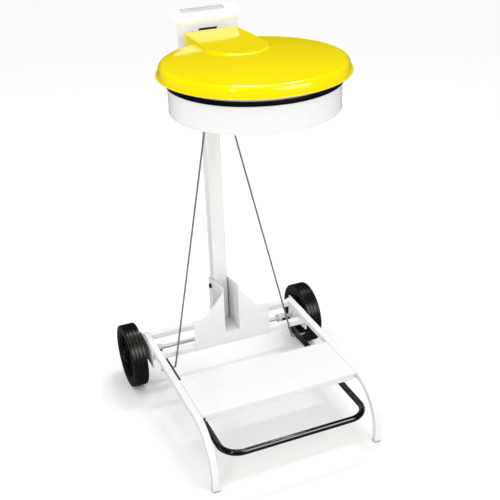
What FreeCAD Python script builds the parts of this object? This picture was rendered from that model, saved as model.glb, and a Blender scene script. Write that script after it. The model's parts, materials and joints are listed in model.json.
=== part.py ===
"""Pedal-operated waste sack holder: a wheeled stand, a post, a hoop for the sack and a hinged lid.

Millimetres. +Z is up, the pedal is on the -Y side, and the stand is symmetric about X = 0.
The origin is on the floor, at the middle of the stand's footprint box.
"""
import math
import os

import FreeCAD
import Part

V = FreeCAD.Vector

# ---- driving dimensions ------------------------------------------------------------------
hoop_y = -94.75             # Y of the hoop's vertical axis
hoop_r = 200.0              # outside radius of the hoop wall
hoop_wall = 2.0
hoop_bottom = 893.0
hoop_top = 976.0
bead_r = 3.0                # rolled edge at the hoop's top
low_bead_r = 1.7            # rolled edge at its bottom
hoop_bolt_r = 3.0
hoop_bolts_at = [(x, z) for x in (-20.0, 20.0) for z in (914.0, 936.0)]

band_r = 205.3              # outside radius of the rubber band
band_bottom = 956.0
band_top = 968.2

rail_size = 18.0            # square tube of the base frame
rail_wall = 1.5
rail_x = 228.35             # centre of each rail
rail_top = 155.4
rail_round = 2.5            # outside corner radius of the square tube
leg_front = hoop_y - 223.8
leg_bend = 120.0            # outside radius of the bend from rail to leg
rail_back = hoop_y + 325.0
foot_plate = 3.0            # plastic foot under each leg

bar_front = hoop_y + 222.0  # front face of the front crossbar, which is welded under the rails
bar_back = hoop_y + 305.0   # front face of the rear crossbar, between the rails

post_size = 40.0
post_wall = 2.0
post_front = hoop_y + 297.0
post_top = 1000.0

axle_y = hoop_y + 327.0
axle_z = 91.5
axle_r = 6.0
wheel_r = 91.5
wheel_in = 252.7            # inner and outer faces of the tyre, from the middle plane
wheel_out = 295.3
rim_r = 67.0
spokes = 6
tyre_bead = 72.0           # radius where the tyre's walls step out from the rim
tyre_step = 1.5
grooves = 3
groove_half = 1.9           # half width of a groove at the tread
groove_depth = 2.4
cap_r = 9.5                 # push-on cap at each end of the axle

channel = 22.0              # half width between the post bracket's cheeks
bell_half = 115.0           # half width of its front plate
bell_shoulder = 221.0
bell_peak = 305.0
bolt_r = 4.0                # bolts that hold the post and the head plate
nut_r = 7.5
nut_high = 6.5
post_bolt_zs = (176.0, 264.0)
head_bolt_zs = (900.0, 944.0, 976.0)

step_front = hoop_y - 113.5
step_back = hoop_y + 58.0
step_drop = 20.0            # depth of the step plate's folded edges
step_sheet = 2.0
rivet_r = 2.4
sheet = 2.5                 # steel sheet of the brackets

pedal_r = 8.0               # pedal tube
pedal_x = 199.4
pedal_front = hoop_y - 221.0
pedal_z = 98.0              # height of the pedal's front bar
pedal_back_z = 97.0         # height of its tube at the axle
pedal_corner = 51.0
pedal_wall = 1.5
pedal_back = axle_y - 26.0    # where the tube ends, short of the axle
pedal_swing = 8.0           # degrees

rod_r = 2.5
rod_low = (182.5, hoop_y + 209.5, 94.0)
rod_knee_z = 893.0          # where the rods turn upright
rod_top_x = 10.5

hinge_y = hoop_y + 250.0
hinge_z = 988.0
hinge_r = 4.0
lid_swing = 64.0            # degrees
lug_x = 49.0                # inner face of each hinge lug
arm_x = 30.0                # inner face of each arm that carries the hoop
lever_x = 18.0              # inner face of each cheek of the lid's lever
lever_sheet = 3.0
web_z = 1000.0              # top of the lever's web
boss_at = [(x, y) for x in (-11.0, 11.0) for y in (hoop_y + 128, hoop_y + 178)]
screw_r = 2.0
buffer_angles = (-135, -45, 20, 160)

lid_bottom = 978.0
lid_rim_r = 224.8
lid_side_r = 220.0
lid_flat_r = 206.0          # radius where the dome turns down into its shoulder
lid_crown = 1011.0          # top of the dome
lid_edge_z = 1004.2         # height of the dome where its shoulder starts
lid_wall = 3.0
shoulder_r = 12.2
hump_top = 1014.0
hump_round = 3.0            # radius of its top edge
hump_fillet = 3.5           # radius where its sides meet the dome
hump_r = 77.0               # round front of the hinge hump
hump_y = hoop_y + 99.0
hump_back = hoop_y + 273.0
hump_half = 70.7            # half width of the hump at its back edge

head_half = 82.0            # half width of the head plate
grip_half = 93.0            # half width of the handle above it
grip_back = hoop_y + 349.0
slot_half = 60.0            # half width of the hand slot
slit_half = 25.0            # half width of the slit in the head plate
slit_z = 1012.45
slit_high = 5.5

running = 0.06              # radial clearance of a pin or axle in its hole
gap = 0.4                   # clearance between bodies that slide past each other

# ---- worked out --------------------------------------------------------------------------
rail_in = rail_x - rail_size / 2
rail_out = rail_x + rail_size / 2
rail_bottom = rail_top - rail_size
bar_bottom = rail_bottom - rail_size
rivet_ys = (step_front + 30, step_back - 30)
plate_front = post_front - sheet
axle_end = wheel_out + 4.5
post_mid = post_front + post_size / 2
pivot_drop = (axle_y - rod_low[1]) * math.sin(math.radians(pedal_swing))
tail_r = pivot_drop / (2 * math.sin(math.radians(lid_swing / 2)))
tail_y = hinge_y + tail_r * math.cos(math.radians(lid_swing / 2))
tail_z = hinge_z + tail_r * math.sin(math.radians(lid_swing / 2))


# ---- shapes ------------------------------------------------------------------------------
def box(x0, x1, y0, y1, z0, z1):
    return Part.makeBox(x1 - x0, y1 - y0, z1 - z0, V(x0, y0, z0))


def rod_x(x0, x1, y, z, r):
    return Part.makeCylinder(r, x1 - x0, V(x0, y, z), V(1, 0, 0))


def rod_y(y0, y1, x, z, r):
    return Part.makeCylinder(r, y1 - y0, V(x, y0, z), V(0, 1, 0))


def rod_z(z0, z1, x, y, r):
    return Part.makeCylinder(r, z1 - z0, V(x, y, z0), V(0, 0, 1))


def ring_x(x0, x1, y, z, r, hole):
    return rod_x(x0, x1, y, z, r).cut(rod_x(x0 - 1, x1 + 1, y, z, hole))


def mirror(shape):
    return shape.mirror(V(0, 0, 0), V(1, 0, 0))


def both(shape):
    """The shape and its mirror image, as separate solids."""
    return Part.makeCompound([shape, mirror(shape)])


def polygon(points):
    return Part.Face(Part.makePolygon([V(*p) for p in points + points[:1]]))


def side_plate(points, x0, x1):
    """A plate with an outline of (y, z) points, from x0 to x1."""
    return polygon([(x0, y, z) for y, z in points]).extrude(V(x1 - x0, 0, 0))


def rounded(points, radii):
    """A closed wire through the points, each corner rounded to its own radius (0 keeps it)."""
    n = len(points)
    starts = []
    arcs = []
    for i in range(n):
        p = V(*points[i])
        a = (V(*points[i - 1]) - p).normalize()
        b = (V(*points[(i + 1) % n]) - p).normalize()
        r = radii[i]
        if r == 0:
            starts.append((p, p))
            arcs.append(None)
            continue
        half = a.getAngle(b) / 2
        reach = r / math.tan(half)
        middle = p + (a + b).normalize() * (r / math.sin(half) - r)
        starts.append((p + a * reach, p + b * reach))
        arcs.append(Part.Arc(p + a * reach, middle, p + b * reach).toShape())
    edges = []
    for i in range(n):
        if arcs[i] is not None:
            edges.append(arcs[i])
        here = starts[i][1]
        there = starts[(i + 1) % n][0]
        if here.distanceToPoint(there) > 1e-6:
            edges.append(Part.LineSegment(here, there).toShape())
    return Part.Wire(edges)


def prism(points, radii, along):
    return Part.Face(rounded(points, radii)).extrude(V(*along))


def path(points, radii):
    """An open wire through the points, with its inner corners rounded to the given radii."""
    edges = []
    last = V(*points[0])
    for i in range(1, len(points) - 1):
        p = V(*points[i])
        a = (V(*points[i - 1]) - p).normalize()
        b = (V(*points[i + 1]) - p).normalize()
        half = a.getAngle(b) / 2
        reach = radii[i - 1] / math.tan(half)
        middle = p + (a + b).normalize() * (radii[i - 1] / math.sin(half) - radii[i - 1])
        edges.append(Part.LineSegment(last, p + a * reach).toShape())
        edges.append(Part.Arc(p + a * reach, middle, p + b * reach).toShape())
        last = p + b * reach
    edges.append(Part.LineSegment(last, V(*points[-1])).toShape())
    return Part.Wire(edges)


def round_sweep(points, radii, r):
    """A round bar of radius r along the path."""
    wire = path(points, radii)
    start = V(*points[0])
    toward = V(*points[1]) - start
    circle = Part.Wire(Part.makeCircle(r, start, toward))
    return wire.makePipeShell([circle], True, False)


def turned(points, radii, y=hoop_y):
    """A solid of revolution about the vertical axis at (0, y), from a closed (r, z) outline."""
    wire = rounded([(r, y, z) for r, z in points], radii)
    return Part.Face(wire).revolve(V(0, y, 0), V(0, 0, 1), 360)


def wheel_turned(points, radii):
    """A solid of revolution about the axle, from a closed (x, r) outline on the +X side."""
    wire = rounded([(x, axle_y, axle_z + r) for x, r in points], radii)
    return Part.Face(wire).revolve(V(0, axle_y, axle_z), V(1, 0, 0), 360)


def round_bolt(x, y0, y1, z, r):
    """A bolt along +Y from y0 to y1, with a low round head in front of y0."""
    head = rod_y(y0 - r * 1.1, y0, x, z, r * 1.75)
    return head.fuse(rod_y(y0, y1, x, z, r))


# ---- base frame --------------------------------------------------------------------------
def rail_band(outer, inner, low, back):
    """Side outline of a rail and its leg, between two depths below the tube's outer surface."""
    cy = leg_front + leg_bend
    cz = rail_top - leg_bend
    edges = []
    half = math.sqrt(0.5)

    def arc(depth):
        r = leg_bend - depth
        return (V(0, cy - r, cz), V(0, cy - r * half, cz + r * half), V(0, cy, cz + r))

    a = arc(outer)
    b = arc(inner)
    foot_out = V(0, a[0].y, low)
    foot_in = V(0, b[0].y, low)
    end_out = V(0, back, a[2].z)
    end_in = V(0, back, b[2].z)
    edges.append(Part.LineSegment(foot_out, a[0]).toShape())
    edges.append(Part.Arc(*a).toShape())
    edges.append(Part.LineSegment(a[2], end_out).toShape())
    edges.append(Part.LineSegment(end_out, end_in).toShape())
    edges.append(Part.LineSegment(end_in, b[2]).toShape())
    edges.append(Part.Arc(*reversed(b)).toShape())
    edges.append(Part.LineSegment(b[0], foot_in).toShape())
    edges.append(Part.LineSegment(foot_in, foot_out).toShape())
    return Part.Face(Part.Wire(edges))


def long_edges(solid, x0, x1):
    """Edges that run along a bent tube, on its two flat sides."""
    found = []
    for edge in solid.Edges:
        xs = [v.X for v in edge.Vertexes]
        on_side = all(abs(x - x0) < 1e-3 for x in xs) or all(abs(x - x1) < 1e-3 for x in xs)
        if on_side and edge.Length > rail_size * 1.5:
            found.append(edge)
    return found


def rail():
    outer = rail_band(0, rail_size, foot_plate, rail_back)
    outer.translate(V(rail_in, 0, 0))
    body = outer.extrude(V(rail_size, 0, 0))
    body = body.makeFillet(rail_round, long_edges(body, rail_in, rail_out))
    inner = rail_band(rail_wall, rail_size - rail_wall, foot_plate - 1, rail_back + 1)
    inner.translate(V(rail_in + rail_wall, 0, 0))
    return body.cut(inner.extrude(V(rail_size - 2 * rail_wall, 0, 0)))


def foot_cap():
    edge = 0.6
    y0 = leg_front + edge
    y1 = leg_front + rail_size - edge
    base = box(rail_in + edge, rail_out - edge, y0, y1, 0, foot_plate)
    base = base.makeFillet(1.5, [e for e in base.Edges if abs(e.tangentAt(0).z) > 0.9])
    inset = rail_wall + 0.1
    plug = box(rail_in + inset, rail_out - inset, leg_front + inset,
               leg_front + rail_size - inset, foot_plate, foot_plate + 14)
    return base.fuse(plug)


def end_plug():
    """Plastic plug that closes the back end of a rail."""
    y0 = rail_back
    inset = rail_wall + 0.1
    base = box(rail_in + 0.6, rail_out - 0.6, y0, y0 + 2.5, rail_bottom + 0.6, rail_top - 0.6)
    plug = box(rail_in + inset, rail_out - inset, y0 - 12, y0, rail_bottom + inset,
               rail_top - inset)
    return base.fuse(plug)


def tube_along_x(half, y0, z0):
    body = box(-half, half, y0, y0 + rail_size, z0, z0 + rail_size)
    edges = [e for e in body.Edges if abs(e.tangentAt(0).x) > 0.9]
    body = body.makeFillet(rail_round, edges)
    return body.cut(box(-half - 1, half + 1, y0 + rail_wall, y0 + rail_size - rail_wall,
                        z0 + rail_wall, z0 + rail_size - rail_wall))


def axle_cheek():
    """Plate that carries the axle, welded to the outer side of a rail."""
    y = hoop_y
    outline = [(rail_out, y + 230, rail_top - 4), (rail_out, y + 230, 91),
               (rail_out, y + 294, 88), (rail_out, y + 327, 68),
               (rail_out, y + 352, 80), (rail_out, y + 348, rail_top - 4)]
    plate = prism(outline, [4, 4, 30, 18, 18, 6], (3.0, 0, 0))
    return plate.cut(rod_x(rail_out - 1, rail_out + 4, axle_y, axle_z, axle_r))


# ---- wheels ------------------------------------------------------------------------------
def axle():
    return rod_x(-axle_end, axle_end, axle_y, axle_z, axle_r)


def hub_spacer():
    return ring_x(rail_out + 3.0, wheel_in + 1.0, axle_y, axle_z, 11.0, axle_r)


def wheel_rim():
    """Moulded wheel centre: boss, web with ribs on both sides, and the seat of the tyre."""
    boss = ring_x(wheel_in + 1.3, wheel_out + 1.0, axle_y, axle_z, 17.0, axle_r + running)
    mid = (wheel_in + wheel_out) / 2
    web = wheel_turned([(mid - 3, 15), (mid + 3, 15), (mid + 5, rim_r - 3), (mid - 5, rim_r - 3)],
                       [0, 0, 0, 0])
    seat = wheel_turned([(wheel_in + 4, rim_r - 7), (wheel_out - 4, rim_r - 7),
                         (wheel_out - 4, rim_r), (wheel_in + 4, rim_r)], [2, 2, 0, 0])
    rim = boss.fuse(web).fuse(seat)
    for i in range(spokes):
        turn = math.radians(360 / spokes * (i + 0.5))
        rib = box(wheel_in + 8, wheel_out - 8, -2, 2, 15, rim_r - 5)
        rib.rotate(V(0, 0, 0), V(1, 0, 0), math.degrees(turn))
        rib.translate(V(0, axle_y, axle_z))
        rim = rim.fuse(rib)
    return rim


def tyre():
    """Solid rubber tyre: walls stepped at the rim, round shoulders, wide grooves in the tread."""
    inner = wheel_in + tyre_step
    outer = wheel_out - tyre_step
    outline = [(inner, rim_r), (outer, rim_r), (outer, tyre_bead), (wheel_out, tyre_bead + 2.5),
               (wheel_out, wheel_r)]
    radii = [0.8, 0.8, 1, 1, 3.2]
    pitch = (wheel_out - wheel_in) / (grooves + 1)
    base = groove_half * 0.6
    for i in range(grooves):
        x = wheel_out - pitch * (i + 1)
        floor = wheel_r - groove_depth
        outline += [(x + groove_half, wheel_r), (x + base, floor), (x - base, floor),
                    (x - groove_half, wheel_r)]
        radii += [0.7, 0.7, 0.7, 0.7]
    outline += [(wheel_in, wheel_r), (wheel_in, tyre_bead + 2.5), (inner, tyre_bead)]
    radii += [3.2, 1, 1]
    return wheel_turned(outline, radii)


def axle_cap():
    outer = wheel_out + 5.6
    cap = rod_x(wheel_out + 1.3, outer, axle_y, axle_z, cap_r)
    face_edge = [e for e in cap.Edges if e.BoundBox.XMin > outer - 0.01]
    cap = cap.makeFillet(2.0, face_edge)
    return cap.cut(rod_x(wheel_out, axle_end, axle_y, axle_z, axle_r))


# ---- post and its bracket ----------------------------------------------------------------
def bell_outline(y):
    """Front plate of the post bracket: a straight foot that rises in a bell to the post."""
    cx = 100.0
    curve = 40.0
    slope = math.radians(50)
    px = cx - curve * math.sin(slope)
    pz = bell_shoulder + curve * (1 - math.cos(slope))
    mid = slope / 2
    mx = cx - curve * math.sin(mid)
    mz = bell_shoulder + curve * (1 - math.cos(mid))
    tip_x = channel + 5.0
    tip_z = pz + (px - tip_x) * math.tan(slope)
    right = [V(bell_half, y, bar_bottom), V(bell_half, y, bell_shoulder), V(cx, y, bell_shoulder)]
    arc_right = Part.Arc(V(cx, y, bell_shoulder), V(mx, y, mz), V(px, y, pz)).toShape()
    rise = [V(px, y, pz), V(tip_x, y, tip_z), V(channel, y, bell_peak)]
    edges = [Part.LineSegment(right[0], right[1]).toShape(),
             Part.LineSegment(right[1], right[2]).toShape(), arc_right,
             Part.LineSegment(rise[0], rise[1]).toShape(),
             Part.LineSegment(rise[1], rise[2]).toShape()]
    left = [e.mirror(V(0, 0, 0), V(1, 0, 0)) for e in edges]
    edges.append(Part.LineSegment(V(channel, y, bell_peak), V(-channel, y, bell_peak)).toShape())
    edges.append(Part.LineSegment(V(-bell_half, y, bar_bottom), V(bell_half, y, bar_bottom)).toShape())
    return Part.Wire(Part.__sortEdges__(edges + left))


def post_bracket():
    y0 = bar_front - sheet
    front = Part.Face(bell_outline(y0)).extrude(V(0, sheet, 0))
    floor = box(-channel - sheet, channel + sheet, bar_front - sheet, post_front + post_size,
                rail_top, rail_top + sheet)
    slot = box(-channel, channel, y0 - 1, bar_front + 1, rail_top + sheet, bell_peak + 1)
    cheek = side_plate([(y0, rail_top), (post_front + post_size, rail_top),
                        (post_front + post_size, bell_peak - 22), (post_front, bell_peak - 14),
                        (y0, bell_peak)], channel, channel + sheet)
    body = front.cut(slot).fuse(floor).fuse(cheek).fuse(mirror(cheek))
    for z in post_bolt_zs:
        body = body.cut(rod_x(-60, 60, post_mid, z, bolt_r))
    return body.removeSplitter()


def post():
    z0 = rail_top + sheet
    half = post_size / 2
    body = box(-half, half, post_front, post_front + post_size, z0, post_top)
    body = body.makeFillet(3.5, [e for e in body.Edges if abs(e.tangentAt(0).z) > 0.9])
    inner = half - post_wall
    body = body.cut(box(-inner, inner, post_front + post_wall, post_front + post_size - post_wall,
                        z0 - 1, post_top + 1))
    for z in post_bolt_zs:
        body = body.cut(rod_x(-60, 60, post_mid, z, bolt_r))
    for z in head_bolt_zs:
        body = body.cut(rod_y(post_front - 20, post_front + 60, 0, z, bolt_r))
    return body


def post_bolts():
    """Domed bolts through the bracket's cheeks and the foot of the post."""
    bolts = []
    for z in post_bolt_zs:
        outer = channel + sheet
        head = rod_x(-outer - 6, -outer, post_mid, z, 7.0)
        head = head.makeFillet(4.0, [e for e in head.Edges if e.BoundBox.XMax < -outer - 5.9])
        shank = rod_x(-outer, outer + 9, post_mid, z, bolt_r)
        bolts.append(head.fuse(shank))
    return Part.makeCompound(bolts)


def hexagon_x(x0, x1, y, z, r):
    points = [(x0, y + r * math.cos(math.radians(60 * i)), z + r * math.sin(math.radians(60 * i)))
              for i in range(6)]
    return polygon(points).extrude(V(x1 - x0, 0, 0))


def hexagon_y(y0, y1, x, z, r):
    points = [(x + r * math.cos(math.radians(60 * i)), y0, z + r * math.sin(math.radians(60 * i)))
              for i in range(6)]
    return polygon(points).extrude(V(0, y1 - y0, 0))


def post_nuts():
    x0 = channel + sheet
    nuts = []
    for z in post_bolt_zs:
        nut = hexagon_x(x0, x0 + nut_high, post_mid, z, nut_r)
        nuts.append(nut.cut(rod_x(x0 - 1, x0 + 9, post_mid, z, bolt_r)))
    return Part.makeCompound(nuts)


def post_cap():
    half = post_size / 2
    top = box(-half + 0.5, half - 0.5, post_front + 0.5, post_front + post_size - 0.5,
              post_top, post_top + 4)
    top = top.makeFillet(3.0, [e for e in top.Edges if abs(e.tangentAt(0).z) > 0.9])
    inner = half - post_wall - 0.1
    plug = box(-inner, inner, post_mid - inner, post_mid + inner, post_top - 12, post_top)
    return top.fuse(plug)


# ---- head plate, hinge and hoop brackets -------------------------------------------------
def head_plate():
    """Upright plate on the post whose top leans back and turns down to make the handle."""
    low = 880.0
    bend_z = 1038.0
    lean = math.radians(25)
    top_z = bend_z + (grip_back - plate_front) * math.tan(lean)
    mid = sheet / 2
    line = path([(0, plate_front + mid, low), (0, plate_front + mid, bend_z),
                 (0, grip_back, top_z), (0, grip_back, top_z - 17)], [9.0, 7.0])
    section = Part.makePolygon([V(-grip_half, plate_front, low), V(grip_half, plate_front, low),
                                V(grip_half, plate_front + sheet, low),
                                V(-grip_half, plate_front + sheet, low),
                                V(-grip_half, plate_front, low)])
    body = line.makePipeShell([section], True, False)
    outline = [(-44, 0, low - 1), (44, 0, low - 1), (head_half, 0, 962),
               (head_half, 0, bend_z - 4), (grip_half, 0, bend_z + 8), (grip_half, 0, top_z + 9),
               (-grip_half, 0, top_z + 9), (-grip_half, 0, bend_z + 8),
               (-head_half, 0, bend_z - 4), (-head_half, 0, 962)]
    mask = prism(outline, [0, 0, 20, 8, 8, 0, 0, 8, 8, 20], (0, 600, 0))
    body = body.common(mask)
    plan = [(-grip_half, 0, low - 1), (grip_half, 0, low - 1), (grip_half, grip_back + 2, low - 1),
            (-grip_half, grip_back + 2, low - 1)]
    body = body.common(prism(plan, [0, 0, 26, 26], (0, 0, 400)))
    y0 = plate_front + 22
    y1 = grip_back - 9
    hand = prism([(-slot_half, y0, bend_z - 20), (slot_half, y0, bend_z - 20),
                  (slot_half, y1, bend_z - 20), (-slot_half, y1, bend_z - 20)],
                 [8, 8, 8, 8], (0, 0, 80))
    body = body.cut(hand)
    body = body.cut(slit_bar(plate_front - 5, plate_front + 15))
    for z in head_bolt_zs:
        body = body.cut(rod_y(plate_front - 20, plate_front + 60, 0, z, bolt_r))
    return body


def slit_bar(y0, y1):
    """The head plate's slit as a bar from y0 to y1."""
    low = slit_z - slit_high / 2
    high = slit_z + slit_high / 2
    corners = [(-slit_half, y0, low), (slit_half, y0, low), (slit_half, y0, high),
               (-slit_half, y0, high)]
    return prism(corners, [2.5, 2.5, 2.5, 2.5], (0, y1 - y0, 0))


def hinge_bracket():
    """Base plate with two lugs that rise to the hinge pin from below."""
    y0 = plate_front - sheet
    base = box(-lug_x - sheet, lug_x + sheet, y0, plate_front, 926, 962)
    lug = prism([(lug_x, plate_front, 926), (lug_x, plate_front, 962), (lug_x, hinge_y + 14, 972),
                 (lug_x, hinge_y + 9, hinge_z + 9), (lug_x, hinge_y - 9, hinge_z + 9),
                 (lug_x, hinge_y - 9, hinge_z - 14)],
                [0, 0, 3, 8.9, 8.9, 6], (sheet, 0, 0))
    body = base.fuse(lug).fuse(mirror(lug))
    body = body.cut(rod_x(-70, 70, hinge_y, hinge_z, hinge_r))
    return body.cut(rod_y(y0 - 5, plate_front + 5, 0, head_bolt_zs[1], bolt_r))


def hoop_bracket():
    """Two arms from the head plate to a curved shoe that holds the back of the hoop."""
    y0 = plate_front - sheet
    shoe_r = hoop_r + 3.0
    base = box(-arm_x - sheet, arm_x + sheet, y0, plate_front, 884, 920)
    shoe = Part.makeCylinder(shoe_r, 44, V(0, hoop_y, 903)).cut(
        Part.makeCylinder(hoop_r, 46, V(0, hoop_y, 902)))
    shoe = shoe.common(box(-46, 46, hoop_y, hoop_y + 260, 900, 950))
    reach = hoop_y + math.sqrt(hoop_r ** 2 - arm_x ** 2) + 1.5
    arm = side_plate([(plate_front, 884), (plate_front, 920), (hoop_y + 240, 947), (reach, 947),
                      (reach, 903), (hoop_y + 250, 884)], arm_x, arm_x + sheet)
    arm = arm.cut(Part.makeCylinder(hoop_r, 80, V(0, hoop_y, 880)))
    body = base.fuse(shoe).fuse(arm).fuse(mirror(arm))
    for x, z in hoop_bolts_at:
        body = body.cut(rod_y(hoop_y + 150, hoop_y + 230, x, z, hoop_bolt_r))
    return body.cut(rod_y(y0 - 5, plate_front + 5, 0, head_bolt_zs[0], bolt_r))


def head_bolts():
    faces = (plate_front - sheet, plate_front - sheet, plate_front)
    back = post_front + post_size + 9
    return Part.makeCompound([round_bolt(0, y, back, z, bolt_r) for y, z in zip(faces, head_bolt_zs)])


def head_nuts():
    y0 = post_front + post_size
    nuts = []
    for z in head_bolt_zs:
        nut = hexagon_y(y0, y0 + nut_high, 0, z, nut_r)
        nuts.append(nut.cut(rod_y(y0 - 1, y0 + 9, 0, z, bolt_r)))
    return Part.makeCompound(nuts)


def hinge_pin():
    return rod_x(-56, 56, hinge_y, hinge_z, hinge_r)


def hinge_clips():
    clip = ring_x(lug_x + sheet, lug_x + sheet + 1.2, hinge_y, hinge_z, 7.0, hinge_r)
    return both(clip)


def hinge_spacers():
    return both(ring_x(lever_x + lever_sheet + gap, lug_x, hinge_y, hinge_z, 6.5, hinge_r))


# ---- hoop, band --------------------------------------------------------------------------
def hoop():
    wall = turned([(hoop_r - hoop_wall, hoop_bottom), (hoop_r, hoop_bottom),
                   (hoop_r, hoop_top - bead_r), (hoop_r - hoop_wall, hoop_top - bead_r)],
                  [0, 0, 0, 0])
    top = Part.makeTorus(hoop_r + 0.5, bead_r, V(0, hoop_y, hoop_top - bead_r))
    low = Part.makeTorus(hoop_r - 1.0, low_bead_r, V(0, hoop_y, hoop_bottom + 1.0))
    ring = wall.fuse(top).fuse(low)
    for x, z in hoop_bolts_at:
        ring = ring.cut(rod_y(hoop_y + 150, hoop_y + 230, x, z, hoop_bolt_r))
    return ring


def hoop_bolts():
    """Round-headed bolts through the back of the hoop, with their nuts on the shoe."""
    bolts = []
    for x, z in hoop_bolts_at:
        wall_in = hoop_y + math.sqrt((hoop_r - hoop_wall) ** 2 - x ** 2)
        shoe_out = hoop_y + math.sqrt((hoop_r + 3.0) ** 2 - x ** 2)
        head = rod_y(wall_in - 3.0, wall_in + 0.9, x, z, 6.0)
        head = head.cut(Part.makeCylinder(hoop_r + 9, 90, V(0, hoop_y, 880)).cut(
            Part.makeCylinder(hoop_r - hoop_wall, 90, V(0, hoop_y, 880))))
        shank = rod_y(wall_in - 1, shoe_out + 7, x, z, hoop_bolt_r)
        nut = hexagon_y(shoe_out - 1.0, shoe_out + 4.5, x, z, 5.8)
        nut = nut.cut(Part.makeCylinder(hoop_r + 3.0, 90, V(0, hoop_y, 880)))
        bolts.append(head.fuse(shank).fuse(nut))
    return Part.makeCompound(bolts)


def sack_band():
    return turned([(hoop_r, band_bottom), (band_r, band_bottom), (band_r, band_top),
                   (hoop_r, band_top)], [0.8, 3.2, 3.2, 0.8])


# ---- lid ---------------------------------------------------------------------------------
def dome(inset):
    """Solid inside of the lid's outer surface, moved inwards by inset."""
    y = hoop_y
    edge = lid_flat_r
    top = lid_crown - inset
    edge_z = lid_edge_z - inset
    centre_z = lid_edge_z - shoulder_r
    r = shoulder_r - inset
    bottom = lid_bottom if inset == 0 else lid_bottom - 1
    half = math.sqrt(0.5)
    sag = V(edge / 2, y, edge_z + (top - edge_z) * 0.75)
    edges = [Part.LineSegment(V(0, y, bottom), V(0, y, top)).toShape(),
             Part.Arc(V(0, y, top), sag, V(edge, y, edge_z)).toShape(),
             Part.Arc(V(edge, y, edge_z), V(edge + r * half, y, centre_z + r * half),
                      V(edge + r, y, centre_z)).toShape()]
    side = V(lid_side_r - inset, y, bottom)
    edges.append(Part.LineSegment(V(edge + r, y, centre_z), side).toShape())
    edges.append(Part.LineSegment(side, V(0, y, bottom)).toShape())
    return Part.Face(Part.Wire(edges)).revolve(V(0, y, 0), V(0, 0, 1), 360)


def hump(inset, low, top, back):
    """Raised housing over the hinge: round in front, tapering to the back edge."""
    r = hump_r - inset
    half = hump_half - inset
    dy = hump_back - hump_y
    reach = math.hypot(half, dy)
    turn = math.atan2(dy, half) - math.acos(r / reach)
    tx = r * math.cos(turn)
    ty = hump_y + r * math.sin(turn)
    slope = (half - tx) / (hump_back - ty)
    bx = half + slope * (back - hump_back)
    edges = [Part.Arc(V(tx, ty, low), V(0, hump_y - r, low), V(-tx, ty, low)).toShape(),
             Part.LineSegment(V(-tx, ty, low), V(-bx, back, low)).toShape(),
             Part.LineSegment(V(-bx, back, low), V(bx, back, low)).toShape(),
             Part.LineSegment(V(bx, back, low), V(tx, ty, low)).toShape()]
    return Part.Face(Part.Wire(edges)).extrude(V(0, 0, top - low))


def hump_foot(body):
    """Edges where the hump's sides meet the dome."""
    found = []
    for edge in body.Edges:
        middle = edge.valueAt((edge.FirstParameter + edge.LastParameter) / 2)
        near = abs(middle.x) < hump_r + 3 and middle.y > hump_y - hump_r - 10
        span = edge.BoundBox
        between = span.ZMin > lid_bottom + 3.5 and span.ZMax < hump_top - 0.3
        if near and between and edge.Length > 20:
            found.append(edge)
    return found


def lid_shell():
    rim = turned([(lid_side_r - lid_wall, lid_bottom), (lid_rim_r, lid_bottom),
                  (lid_rim_r, lid_bottom + 2.6), (lid_side_r - lid_wall, lid_bottom + 4.5)],
                 [0, 1.0, 1.0, 0])
    housing = hump(0, lid_bottom + 3.0, hump_top, hump_back)
    top_edges = [e for e in housing.Edges if e.BoundBox.ZMin > hump_top - 0.01
                 and not (e.BoundBox.YMin > hump_back - 0.01)]
    housing = housing.makeFillet(hump_round, top_edges)
    body = dome(0).fuse(rim).fuse(housing)
    body = body.makeFillet(hump_fillet, hump_foot(body))
    body = body.cut(dome(lid_wall))
    body = body.cut(hump(lid_wall, lid_bottom + 3.0, hump_top - lid_wall, hump_back + 20))
    for x, y in boss_at:
        body = body.fuse(rod_z(web_z, hump_top - 1, x, y, 5.0))
        body = body.cut(rod_z(web_z - 1, web_z + 8, x, y, screw_r))
    for angle in buffer_angles:
        x, y = on_hoop(angle)
        body = body.fuse(rod_z(lid_bottom + 2.5, lid_crown, x, y, 6.5).common(dome(1.0)))
    return body


def on_hoop(angle):
    turn = math.radians(angle)
    return hoop_r * math.cos(turn), hoop_y + hoop_r * math.sin(turn)


def lid_buffers():
    """Rubber studs under the lid's bosses, which land on the hoop's top edge."""
    studs = []
    for angle in buffer_angles:
        x, y = on_hoop(angle)
        studs.append(rod_z(hoop_top + gap, lid_bottom + 2.5, x, y, 5.5))
    return Part.makeCompound(studs)


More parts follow.
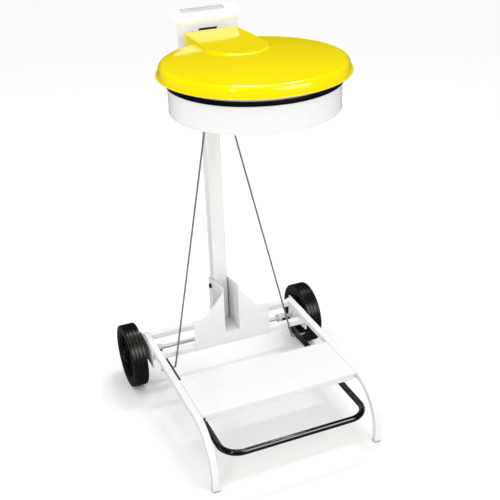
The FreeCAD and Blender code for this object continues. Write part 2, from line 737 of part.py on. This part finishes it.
def lid_lever():
    """Steel lever screwed inside the lid: it turns on the hinge pin, and the rods pull its tail."""
    y = hoop_y
    out = lever_x + lever_sheet
    tip = tail_r + 9.5
    rise = math.radians(lid_swing / 2)
    tip_y = hinge_y + tip * math.cos(rise)
    tip_z = hinge_z + tip * math.sin(rise)
    cheek = prism([(lever_x, y + 112, web_z), (lever_x, y + 112, web_z - 9),
                   (lever_x, y + 205, web_z - 11), (lever_x, hinge_y - 4, hinge_z - 9.5),
                   (lever_x, hinge_y + 12, hinge_z - 9.5), (lever_x, tip_y + 3, tip_z - 8),
                   (lever_x, tip_y - 5, tip_z + 8), (lever_x, y + 232, web_z)],
                  [0, 4, 20, 8, 8, 6, 6, 10], (lever_sheet, 0, 0))
    web = box(-out, out, y + 112, y + 214, web_z - sheet, web_z)
    body = web.fuse(cheek).fuse(mirror(cheek))
    body = body.cut(rod_x(-70, 70, hinge_y, hinge_z, hinge_r + running))
    half = rod_r + 0.8
    slot = box(-70, 70, 0, 4.4, -half, half)
    slot = slot.fuse(rod_x(-70, 70, 0, 0, half)).fuse(rod_x(-70, 70, 4.4, 0, half))
    slot.translate(V(0, tail_r - 2.7, 0))
    slot.rotate(V(0, 0, 0), V(1, 0, 0), math.degrees(rise))
    slot.translate(V(0, hinge_y, hinge_z))
    body = body.cut(slot)
    for x, by in boss_at:
        body = body.cut(rod_z(web_z - 10, web_z + 5, x, by, 2.3))
    return body


def lid_screws():
    screws = []
    for x, y in boss_at:
        head = Part.makeCylinder(4.2, 2.4, V(x, y, web_z - sheet - 2.4))
        screws.append(head.fuse(rod_z(web_z - sheet, web_z + 7.5, x, y, screw_r)))
    return Part.makeCompound(screws)


# ---- step plate --------------------------------------------------------------------------
def step_plate():
    """Folded tray between the rails, its top level with theirs."""
    half = rail_in - 0.2
    body = box(-half, half, step_front, step_back, rail_top - step_drop, rail_top)
    crease = [e for e in body.Edges if e.BoundBox.ZMin > rail_top - 0.01]
    body = body.makeFillet(2.8, crease)
    inner = half - step_sheet
    inside = box(-inner, inner, step_front + step_sheet, step_back - step_sheet,
                 rail_top - step_drop - 1, rail_top - step_sheet)
    body = body.cut(inside)
    notch = box(half - 10, half + 1, step_front - 1, step_front + 2.01,
                rail_top - step_drop - 1, rail_top - 9)
    body = body.cut(notch).cut(mirror(notch))
    for y in rivet_ys:
        body = body.cut(rod_x(-half - 1, half + 1, y, rail_top - rail_size / 2, rivet_r))
    return body


def step_rivets():
    """Blind rivets from the step plate's folded sides into the rails."""
    rivets = []
    z = rail_top - rail_size / 2
    inner = rail_in - 0.2
    for y in rivet_ys:
        shank = rod_x(inner - step_sheet, inner, y, z, rivet_r)
        rivet = shank.fuse(rod_x(inner - step_sheet - 1.4, inner - step_sheet, y, z, 4.5))
        rivets.append(rivet)
        rivets.append(mirror(rivet))
    return Part.makeCompound(rivets)


# ---- pedal -------------------------------------------------------------------------------
def pedal_height(y):
    return pedal_z + (pedal_back_z - pedal_z) * (y - pedal_front) / (axle_y - pedal_front)


def pedal_bar():
    """Bent tube, open at its back ends, with holes for the rods."""
    right = [(pedal_x, y, pedal_height(y)) for y in (pedal_front, pedal_back)]
    route = [(-x, y, z) for x, y, z in reversed(right)] + right
    radii = [pedal_corner, pedal_corner]
    body = round_sweep(route, radii, pedal_r)
    body = body.cut(round_sweep(route, radii, pedal_r - pedal_wall))
    return body.cut(rod_x(-pedal_x - 20, pedal_x + 20, rod_low[1], rod_low[2], rod_r + running))


def pedal_eye():
    """Plastic end of the pedal tube: a plug in the tube, a neck, and an eye on the axle."""
    back = V(pedal_x, axle_y, pedal_back_z)
    neck_start = V(pedal_x, pedal_back, pedal_height(pedal_back))
    plug_start = V(pedal_x, pedal_back - 20, pedal_height(pedal_back - 20))
    along = back - neck_start
    neck = Part.makeCylinder(pedal_r, along.Length, neck_start, along)
    plug = Part.makeCylinder(pedal_r - pedal_wall - 0.1, 22, plug_start, along)
    body = rod_x(pedal_x - 11, pedal_x + 11, axle_y, axle_z, 12.5).fuse(neck).fuse(plug)
    return body.cut(rod_x(pedal_x - 20, pedal_x + 20, axle_y, axle_z, axle_r + running))


def axle_rings():
    """Push-on rings that keep the pedal in place along the axle."""
    return both(ring_x(pedal_x - 14.0, pedal_x - 11.8, axle_y, axle_z, 10.0, axle_r))


# ---- rods --------------------------------------------------------------------------------
def rod():
    x, y, z = rod_low
    points = [(x + 41.5, y, z), (x, y, z), (rod_top_x, tail_y, rod_knee_z),
              (rod_top_x, tail_y, tail_z), (lever_x + 5.6, tail_y, tail_z)]
    return round_sweep(points, [6.0, 60.0, 5.0], rod_r)


def rod_clips():
    x, y, z = rod_low
    low = ring_x(pedal_x + pedal_r + gap, x + 28.0, y, z, 4.6, rod_r)
    top = ring_x(lever_x + lever_sheet + gap, lever_x + 4.6, tail_y, tail_z, 4.6, rod_r)
    return Part.makeCompound([low, top])


# ---- the pieces --------------------------------------------------------------------------
def pieces():
    made = {
        "front_crossbar": tube_along_x(rail_out, bar_front, bar_bottom),
        "rear_crossbar": tube_along_x(rail_in, bar_back, rail_bottom),
        "axle": axle(),
        "post_bracket": post_bracket(),
        "post": post(),
        "post_bolts": post_bolts(),
        "post_nuts": post_nuts(),
        "post_cap": post_cap(),
        "head_plate": head_plate(),
        "slit_strip": slit_bar(plate_front + 0.8, post_front + 1.5),
        "head_bolts": head_bolts(),
        "head_nuts": head_nuts(),
        "hinge_bracket": hinge_bracket(),
        "hinge_pin": hinge_pin(),
        "hinge_clips": hinge_clips(),
        "hinge_spacers": hinge_spacers(),
        "hoop_bracket": hoop_bracket(),
        "hoop": hoop(),
        "hoop_bolts": hoop_bolts(),
        "sack_band": sack_band(),
        "lid_shell": lid_shell(),
        "lid_lever": lid_lever(),
        "lid_screws": lid_screws(),
        "lid_buffers": lid_buffers(),
        "step_plate": step_plate(),
        "step_rivets": step_rivets(),
        "pedal_bar": pedal_bar(),
        "axle_rings": axle_rings(),
    }
    sided = {
        "rail": rail,
        "foot_cap": foot_cap,
        "rail_plug": end_plug,
        "axle_cheek": axle_cheek,
        "hub_spacer": hub_spacer,
        "wheel_rim": wheel_rim,
        "tyre": tyre,
        "axle_cap": axle_cap,
        "pedal_eye": pedal_eye,
        "rod": rod,
        "rod_clips": rod_clips,
    }
    for name, make in sided.items():
        shape = make()
        made["right_" + name] = shape
        made["left_" + name] = mirror(shape)
    return made


os.makedirs("parts", exist_ok=True)
for node, solid in pieces().items():
    solid.exportStep("parts/" + node + ".step")
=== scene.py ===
"""Looks of the pedal waste sack holder: materials, softened sheet edges, light and camera."""
import json
import math

import bmesh
import bpy
from mathutils import Matrix, Vector


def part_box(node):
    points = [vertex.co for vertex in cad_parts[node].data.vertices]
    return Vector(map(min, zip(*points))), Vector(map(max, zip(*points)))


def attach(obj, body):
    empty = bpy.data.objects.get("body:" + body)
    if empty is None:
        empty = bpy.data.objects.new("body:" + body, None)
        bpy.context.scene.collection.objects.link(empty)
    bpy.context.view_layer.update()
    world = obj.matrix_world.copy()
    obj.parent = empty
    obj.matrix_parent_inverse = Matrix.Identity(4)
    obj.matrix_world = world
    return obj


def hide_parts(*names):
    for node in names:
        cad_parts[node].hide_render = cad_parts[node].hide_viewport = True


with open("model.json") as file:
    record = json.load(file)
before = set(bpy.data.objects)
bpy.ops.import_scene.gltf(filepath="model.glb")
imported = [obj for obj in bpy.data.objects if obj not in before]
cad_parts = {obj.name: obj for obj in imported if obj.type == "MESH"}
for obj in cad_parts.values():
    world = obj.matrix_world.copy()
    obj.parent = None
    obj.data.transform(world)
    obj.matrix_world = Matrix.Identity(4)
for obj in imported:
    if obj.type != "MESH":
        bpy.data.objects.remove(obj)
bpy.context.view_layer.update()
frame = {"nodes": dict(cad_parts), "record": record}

NODES = frame["nodes"]


# ---- places read from the frame ----------------------------------------------------------
BODY_OF = {node: body for body, nodes in frame["record"]["behaviour"]["bodies"].items()
           for node in nodes}
BAND_LOW, BAND_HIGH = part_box("sack_band")
HOOP_LOW, HOOP_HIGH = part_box("hoop")
HOOP = (HOOP_LOW + HOOP_HIGH) / 2

SAME_PLACE = 0.00001    # points nearer than this are one point
EDGE_ROUND = 0.0004     # how far the edges of sheets and tubes are rounded back
SLIVER = 0.00006        # points nearer than this after the rounding are one point


# ---- node helpers ------------------------------------------------------------------------
class Graph:
    """A material's node tree, with short calls for the nodes used here."""

    def __init__(self, name):
        self.material = bpy.data.materials.new(name)
        self.material.use_nodes = True
        self.tree = self.material.node_tree
        self.shader = self.tree.nodes["Principled BSDF"]
        self.where = self.tree.nodes.new("ShaderNodeTexCoord").outputs["Object"]

    def add(self, kind, **inputs):
        node = self.tree.nodes.new(kind)
        for name, value in inputs.items():
            node.inputs[name.replace("_", " ")].default_value = value
        return node

    def link(self, a, b):
        self.tree.links.new(a, b)

    def set(self, **values):
        for name, value in values.items():
            self.shader.inputs[name.replace("_", " ")].default_value = value

    def stretched(self, scale):
        """Object coordinates scaled along each axis."""
        node = self.add("ShaderNodeMapping")
        node.inputs["Scale"].default_value = scale
        self.link(self.where, node.inputs["Vector"])
        return node.outputs["Vector"]

    def noise(self, scale, detail=3.0, rough=0.5, where=None):
        node = self.add("ShaderNodeTexNoise", Scale=scale, Detail=detail, Roughness=rough)
        self.link(where or self.where, node.inputs["Vector"])
        return node.outputs["Fac"]

    def ramp(self, value, low, high, out_low, out_high):
        """value from low..high mapped to out_low..out_high and clamped."""
        node = self.add("ShaderNodeMapRange")
        node.inputs["From Min"].default_value = low
        node.inputs["From Max"].default_value = high
        node.inputs["To Min"].default_value = out_low
        node.inputs["To Max"].default_value = out_high
        self.link(value, node.inputs["Value"])
        return node.outputs["Result"]

    def mix(self, factor, a, b):
        """Colour a to colour b by factor. a and b are colours or sockets."""
        node = self.tree.nodes.new("ShaderNodeMix")
        node.data_type = "RGBA"
        self.link(factor, node.inputs["Factor"])
        for value, socket in ((a, node.inputs[6]), (b, node.inputs[7])):
            if isinstance(value, tuple):
                socket.default_value = (*value, 1.0)
            else:
                self.link(value, socket)
        return node.outputs[2]

    def reflected(self):
        """1 where the surface is seen in a reflection, 0 where it is seen directly."""
        return self.tree.nodes.new("ShaderNodeLightPath").outputs["Is Glossy Ray"]

    def color(self, socket):
        self.link(socket, self.shader.inputs["Base Color"])

    def roughness(self, socket):
        self.link(socket, self.shader.inputs["Roughness"])

    def bump(self, height, distance, strength=1.0):
        node = self.add("ShaderNodeBump", Strength=strength, Distance=distance)
        self.link(height, node.inputs["Height"])
        self.link(node.outputs["Normal"], self.shader.inputs["Normal"])

    def crevices(self, reach, amount):
        """0 in the open, rising to amount in corners and gaps narrower than reach."""
        node = self.tree.nodes.new("ShaderNodeAmbientOcclusion")
        node.samples = 16
        node.inputs["Distance"].default_value = reach
        return self.ramp(node.outputs["AO"], 0.25, 0.85, amount, 0.0)


# ---- materials ---------------------------------------------------------------------------
def powder_coat(name, base, shade, gloss, corner_grime_and_shade):
    """Powder coat: faint cloudiness, orange peel, grime and painted shade in corners, dimmer in
    reflections.
    """
    g = Graph(name)
    clouds = g.ramp(g.noise(2.5, 1.0, 0.4), 0.2, 0.8, 0.0, 1.0)
    coat = g.mix(clouds, base, shade)
    # Painted shade: corners and narrow gaps darken towards the grime colour, partly grime and
    # partly painted shade.
    grimed_and_shaded_coat = g.mix(g.crevices(0.010, 0.22), coat, corner_grime_and_shade)
    dimmed = tuple(0.5 * level for level in base)
    g.color(g.mix(g.reflected(), grimed_and_shaded_coat, dimmed))
    g.roughness(g.ramp(g.noise(26.0, 5.0, 0.6), 0.3, 0.7, gloss - 0.03, gloss + 0.04))
    g.bump(g.noise(700.0, 1.0), 0.00001, 0.6)
    g.set(Coat_Weight=0.25, Coat_Roughness=0.10)
    return g.material


def white_coat():
    # The last colour is the grey of the grime and painted shade in corners.
    return powder_coat("white powder coat", (0.87, 0.876, 0.886), (0.862, 0.869, 0.881), 0.26,
                       (0.55, 0.555, 0.55))


def black_coat():
    """Gloss black paint on the pedal's tube, rubbed paler in patches."""
    g = Graph("gloss black paint")
    rubbed = g.ramp(g.noise(14.0, 6.0, 0.65), 0.50, 0.72, 0.0, 1.0)
    g.color(g.mix(rubbed, (0.0035, 0.0035, 0.004), (0.008, 0.008, 0.0085)))
    g.roughness(g.ramp(g.noise(30.0, 5.0, 0.6), 0.35, 0.7, 0.10, 0.24))
    g.bump(g.noise(700.0, 2.0), 0.00002)
    g.set(Specular_IOR_Level=0.25, Coat_Weight=1.0, Coat_Roughness=0.06, Coat_IOR=1.7)
    return g.material


def yellow_plastic():
    """Polished lid plastic: slow variation in shade, faint waviness, light rubbing marks."""
    g = Graph("yellow lid plastic")
    slow = g.ramp(g.noise(5.0, 3.0), 0.35, 0.65, 0.0, 1.0)
    base = g.mix(slow, (0.985, 0.815, 0.0008), (0.97, 0.785, 0.0006))
    rubbed = g.ramp(g.noise(30.0, 6.0, 0.7, g.stretched((1.0, 0.3, 1.0))), 0.58, 0.76, 0.0, 0.35)
    g.color(g.mix(rubbed, base, (0.985, 0.825, 0.003)))
    g.roughness(g.ramp(g.noise(16.0, 6.0, 0.65), 0.3, 0.7, 0.09, 0.17))
    g.bump(g.noise(9.0, 2.0), 0.0011, 0.35)
    g.set(Specular_IOR_Level=0.05, Coat_Weight=1.0, Coat_Roughness=0.04, Coat_IOR=1.55)
    return g.material


def band_rubber():
    """Glossy rubber ring with stretch marks along it and a faint bloom."""
    g = Graph("band rubber")
    rings = g.noise(30.0, 4.0, 0.6, g.stretched((1.0, 1.0, 26.0)))
    bloom = g.ramp(g.noise(18.0, 5.0, 0.6), 0.5, 0.8, 0.0, 0.5)
    g.color(g.mix(bloom, (0.0030, 0.0031, 0.0030), (0.0065, 0.0067, 0.0065)))
    g.roughness(g.ramp(rings, 0.3, 0.7, 0.22, 0.38))
    g.bump(rings, 0.0002, 0.5)
    g.set(Specular_IOR_Level=0.12)
    return g.material


def tyre_rubber():
    """Black tyre rubber: smooth and slightly shiny, with dust in the grooves and dull scuffs."""
    g = Graph("tyre rubber")
    dust = g.ramp(g.noise(26.0, 7.0, 0.7), 0.52, 0.80, 0.0, 0.5)
    rubber = g.mix(dust, (0.0050, 0.0050, 0.0052), (0.0115, 0.0115, 0.0115))
    g.color(g.mix(g.crevices(0.004, 0.5), rubber, (0.015, 0.015, 0.0145)))
    g.roughness(g.ramp(g.noise(60.0, 6.0, 0.7), 0.3, 0.7, 0.20, 0.36))
    g.bump(g.noise(520.0, 4.0), 0.00006, 0.8)
    g.set(Specular_IOR_Level=0.55)
    return g.material


def moulded(name, base, shade, gloss):
    """Small moulded plastic parts."""
    g = Graph(name)
    patch = g.ramp(g.noise(42.0, 5.0, 0.65), 0.4, 0.7, 0.0, 1.0)
    g.color(g.mix(patch, base, shade))
    g.roughness(g.ramp(g.noise(80.0, 5.0, 0.6), 0.3, 0.7, gloss - 0.06, gloss + 0.10))
    g.bump(g.noise(900.0, 2.0), 0.00003, 0.8)
    g.set(Specular_IOR_Level=0.42)
    return g.material


def black_plastic():
    return moulded("black gloss plastic", (0.005, 0.005, 0.0055), (0.011, 0.011, 0.0115), 0.20)


def grey_plastic():
    return moulded("grey foot plastic", (0.13, 0.135, 0.14), (0.17, 0.17, 0.175), 0.42)


def white_nylon():
    return moulded("white nylon", (0.72, 0.72, 0.70), (0.65, 0.65, 0.63), 0.45)


def black_bolts():
    return moulded("black bolt cap", (0.008, 0.008, 0.009), (0.018, 0.018, 0.019), 0.30)


def metal(name, base, shade, gloss, stretch, metallic):
    """Plated steel with fine drawn lines along one axis and a cloudy plating."""
    g = Graph(name)
    lines = g.noise(900.0, 3.0, 0.6, g.stretched(stretch))
    clouds = g.ramp(g.noise(30.0, 5.0, 0.6), 0.35, 0.7, 0.0, 1.0)
    g.color(g.mix(clouds, base, shade))
    g.roughness(g.ramp(lines, 0.3, 0.7, gloss - 0.08, gloss + 0.12))
    g.bump(lines, 0.00003, 0.8)
    g.set(Metallic=metallic)
    return g.material


def zinc():
    return metal("bright zinc plate", (0.74, 0.75, 0.76), (0.64, 0.65, 0.64), 0.34,
                 (1.0, 1.0, 1.0), 0.45)


def rod_steel():
    return metal("drawn rod steel", (0.40, 0.41, 0.40), (0.31, 0.315, 0.31), 0.32,
                 (1.0, 1.0, 0.03), 0.6)


def paint(material, *names):
    """Puts the material on every slot of these CAD nodes."""
    for name in names:
        for place in NODES[name].material_slots:
            place.material = material


def sided(*names):
    """The left and the right node of each name."""
    return [side + name for side in ("left_", "right_") for name in names]


def finish_cad_nodes():
    """Materials of the CAD nodes that stay as they are."""
    steel = zinc()
    rods = rod_steel()
    plastic = black_plastic()
    grey = grey_plastic()
    paint(steel, "axle", "axle_rings", "hinge_pin", "hinge_clips", "hinge_spacers", "head_bolts",
          "head_nuts", "hoop_bolts", "post_nuts", "lid_screws", "step_rivets",
          *sided("hub_spacer", "rod_clips"))
    paint(rods, *sided("rod"))
    # slit_strip is a black strip in the head plate's slit that stands in for the shade inside
    # the slit: its black is painted shade.
    paint(plastic, "post_cap", "slit_strip", *sided("wheel_rim", "axle_cap"))
    paint(grey, *sided("foot_cap", "rail_plug"))
    paint(white_nylon(), *sided("pedal_eye"))
    paint(black_bolts(), "post_bolts")
    paint(tyre_rubber(), *sided("tyre"))
    paint(band_rubber(), "lid_buffers")
    paint(black_coat(), "pedal_bar")
    paint(yellow_plastic(), "lid_shell")


# ---- pieces that replace a CAD node ------------------------------------------------------
def finished(name, mesh, material, node):
    """A smooth piece from a mesh, which rides and is finished as the CAD node it replaces."""
    obj = bpy.data.objects.new(name, mesh)
    bpy.context.scene.collection.objects.link(obj)
    mesh.materials.clear()
    mesh.materials.append(material)
    mesh.shade_smooth()
    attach(obj, BODY_OF[node])
    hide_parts(node)
    return obj


def softened(node, material):
    """The node's shape with its sheared and sawn edges rounded, so they catch the light."""
    mesh = bpy.data.meshes.new(node + "_soft")
    shape = bmesh.new()
    shape.from_mesh(NODES[node].data)
    bmesh.ops.remove_doubles(shape, verts=shape.verts, dist=SAME_PLACE)
    bmesh.ops.dissolve_limit(shape, angle_limit=math.radians(0.4), verts=shape.verts,
                             edges=shape.edges)
    sharp = [edge for edge in shape.edges
             if len(edge.link_faces) == 2 and edge.calc_face_angle() > math.radians(40)]
    # Not clamped, as the short edges round the holes would then shrink every rounding.
    bmesh.ops.bevel(shape, geom=sharp, offset=EDGE_ROUND, segments=3, profile=0.5,
                    affect="EDGES", clamp_overlap=False)
    bmesh.ops.remove_doubles(shape, verts=shape.verts, dist=SLIVER)
    bmesh.ops.triangulate(shape, faces=[f for f in shape.faces if len(f.verts) > 4])
    shape.to_mesh(mesh)
    shape.free()
    piece = finished("soft_" + node, mesh, material, node)
    mesh.set_sharp_from_angle(angle=math.radians(42))
    return piece


def sheet_metal():
    """The white painted frame and brackets."""
    white = white_coat()
    paint(white, "hoop", *sided("rail"))
    for node in ("post_bracket", "head_plate", "hinge_bracket", "hoop_bracket", "step_plate",
                 "lid_lever", "post", "front_crossbar", "rear_crossbar", *sided("axle_cheek")):
        softened(node, white)


def turned(profile, steps):
    """A mesh of the closed (r, z) profile turned about the hoop's axis."""
    mesh = bpy.data.meshes.new("turned")
    shape = bmesh.new()
    rings = []
    for i in range(steps):
        turn = 2 * math.pi * i / steps
        rings.append([shape.verts.new((r * math.cos(turn), HOOP.y + r * math.sin(turn), z))
                      for r, z in profile])
    count = len(profile)
    for i in range(steps):
        here = rings[i]
        there = rings[(i + 1) % steps]
        for j in range(count):
            k = (j + 1) % count
            shape.faces.new((here[j], there[j], there[k], here[k]))
    bmesh.ops.remove_doubles(shape, verts=shape.verts, dist=SAME_PLACE)
    bmesh.ops.recalc_face_normals(shape, faces=shape.faces)
    shape.to_mesh(mesh)
    shape.free()
    return mesh


def arc(centre, radius, start, end, steps):
    """Points on an arc, from the start angle to the end angle in degrees."""
    points = []
    for i in range(steps + 1):
        turn = math.radians(start + (end - start) * i / steps)
        points.append((centre[0] + radius * math.cos(turn), centre[1] + radius * math.sin(turn)))
    return points


def band():
    """The rubber band: a plump ring, a little uneven from being stretched by hand."""
    wall = 0.0053
    corner = 0.0034
    shoulder = 0.0022
    inner_part = 0.72
    squeeze = 0.10
    middle_z = (BAND_LOW.z + BAND_HIGH.z) / 2
    half = (BAND_HIGH.z - BAND_LOW.z) / 2
    inner = BAND_HIGH.x - wall
    corner_r = BAND_HIGH.x - corner
    profile = [(inner, middle_z + half * inner_part), (inner + shoulder, middle_z + half)]
    profile += arc((corner_r, middle_z + half - corner), corner, 75, 0, 6)
    profile += arc((corner_r, middle_z - half + corner), corner, 0, -75, 6)
    profile += [(inner + shoulder, middle_z - half), (inner, middle_z - half * inner_part)]
    mesh = turned(profile, 300)
    for vert in mesh.vertices:
        turn = math.atan2(vert.co.y - HOOP.y, vert.co.x)
        slack = 0.5 + 0.3 * math.sin(3 * turn + 0.6) + 0.2 * math.sin(7 * turn + 2.1)
        vert.co.z = middle_z + (vert.co.z - middle_z) * (1.0 - squeeze * slack)
    finished("rubber_band", mesh, band_rubber(), "sack_band")


# ---- floor, light, camera ----------------------------------------------------------------
def floor():
    """A wide pale floor, dark in reflections so that black parts stay black."""
    mesh = bpy.data.meshes.new("floor")
    shape = bmesh.new()
    bmesh.ops.create_grid(shape, x_segments=1, y_segments=1, size=30.0)
    shape.to_mesh(mesh)
    shape.free()
    obj = bpy.data.objects.new("floor", mesh)
    bpy.context.scene.collection.objects.link(obj)
    g = Graph("pale floor")
    g.color(g.mix(g.reflected(), (0.95, 0.95, 0.95), (0.10, 0.10, 0.10)))
    g.set(Roughness=0.9, Specular_IOR_Level=0.0)
    mesh.materials.append(g.material)


def soft_light(name, place, aim, size, power):
    """A rectangular softbox at place, turned to aim."""
    data = bpy.data.lights.new(name, "AREA")
    data.shape = "RECTANGLE"
    data.size = size[0]
    data.size_y = size[1]
    data.energy = power
    obj = bpy.data.objects.new(name, data)
    obj.location = place
    obj.rotation_euler = (Vector(aim) - Vector(place)).to_track_quat("-Z", "Y").to_euler()
    bpy.context.scene.collection.objects.link(obj)
    return obj


def lights():
    """A white room that lights evenly, kept dim in reflections, and softboxes.

    Three small lamps behind make the streaks on the lid's front shoulder. The card only shows
    in reflections: it draws the bright line along the pedal and the tyres.
    """
    lid = (0.0, -0.1, 0.9)
    foot = (0.0, -0.3, 0.1)
    pedal = (0.0, -0.45, 0.05)
    room = 1.0
    room_reflected = 0.02
    lamp_high = 0.12
    lamp_glow = 190.0
    world = bpy.data.worlds.new("studio")
    world.use_nodes = True
    tree = world.node_tree
    back = tree.nodes["Background"]
    back.inputs["Color"].default_value = (1.0, 1.0, 1.0, 1.0)
    path = tree.nodes.new("ShaderNodeLightPath")
    power = tree.nodes.new("ShaderNodeMapRange")
    power.inputs["To Min"].default_value = room
    power.inputs["To Max"].default_value = room_reflected
    tree.links.new(path.outputs["Is Glossy Ray"], power.inputs["Value"])
    tree.links.new(power.outputs["Result"], back.inputs["Strength"])
    bpy.context.scene.world = world
    soft_light("overhead", (0.0, -0.1, 3.4), lid, (2.0, 2.0), 8.0)
    soft_light("front left", (-2.4, -2.2, 2.3), lid, (0.4, 1.2), 13.0)
    soft_light("front right", (1.05, -2.4, 2.2), foot, (1.1, 0.8), 6.0)
    for name, x, width in (("lamp a", 0.36, 0.2), ("lamp b", 0.58, 0.1), ("lamp c", 0.88, 0.24)):
        soft_light(name, (x, 1.1, 2.4), lid, (width, lamp_high), lamp_glow * width * lamp_high)
    card = soft_light("card", (0.66, -1.75, 1.5), pedal, (1.2, 1.6), 22.0)
    card.visible_camera = False
    card.visible_diffuse = False


def camera():
    """The view: from the front left, turned 22 degrees to the right and 27 degrees down."""
    aside = -0.78751
    back = 1.88115
    height = 1.55312
    yaw = math.radians(22.025)
    pitch = math.radians(26.875)
    roll = math.radians(-2.096)
    forward = Vector((math.sin(yaw) * math.cos(pitch), math.cos(yaw) * math.cos(pitch),
                      -math.sin(pitch)))
    right = Vector((math.cos(yaw), -math.sin(yaw), 0.0))
    up = right.cross(forward)
    side = right * math.cos(roll) + up * math.sin(roll)
    head = up * math.cos(roll) - right * math.sin(roll)
    data = bpy.data.cameras.new("camera")
    data.sensor_width = 36.0
    data.lens = 65.78
    data.clip_end = 100.0
    obj = bpy.data.objects.new("camera", data)
    turn = Matrix((side, head, -forward)).transposed()
    place = Matrix.Translation((aside, HOOP.y - back, height))
    obj.matrix_world = place @ turn.to_4x4()
    bpy.context.scene.collection.objects.link(obj)
    bpy.context.scene.camera = obj


finish_cad_nodes()
sheet_metal()
band()
floor()
lights()
camera()
bpy.context.scene.view_settings.view_transform = "Standard"
